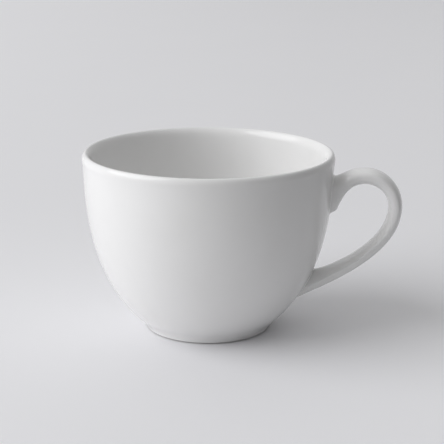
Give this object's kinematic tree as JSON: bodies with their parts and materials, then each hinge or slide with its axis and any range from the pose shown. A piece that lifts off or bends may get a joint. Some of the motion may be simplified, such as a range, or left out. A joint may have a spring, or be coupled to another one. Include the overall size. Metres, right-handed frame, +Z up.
{
  "type": "coffee cup",
  "caption": "Plain white glazed porcelain cup with a rounded bowl on a small foot ring and a looped side handle, for hot drinks.",
  "frame": {"origin": "middle of the whole cup's bounding box, on the plane that the foot ring stands on", "axes": "+X from the bowl towards the handle, +Z up along the bowl's axis, +Y across the handle"},
  "size_m": [0.1242, 0.098, 0.0705],
  "materials": {
    "bisque": "fired, unglazed and matt, bare only on the foot ring",
    "slip": "fired joining slip, matt, hidden inside the joints",
    "glaze": "smooth glossy white glaze"
  },
  "bodies": {
    "root": {"bowl_body": "bisque", "handle_body": "bisque", "upper_slip_joint": "slip", "lower_slip_joint": "slip", "bowl_glaze": "glaze", "handle_glaze": "glaze", "foot_recess_glaze": "glaze"}
  },
  "joints": []
}
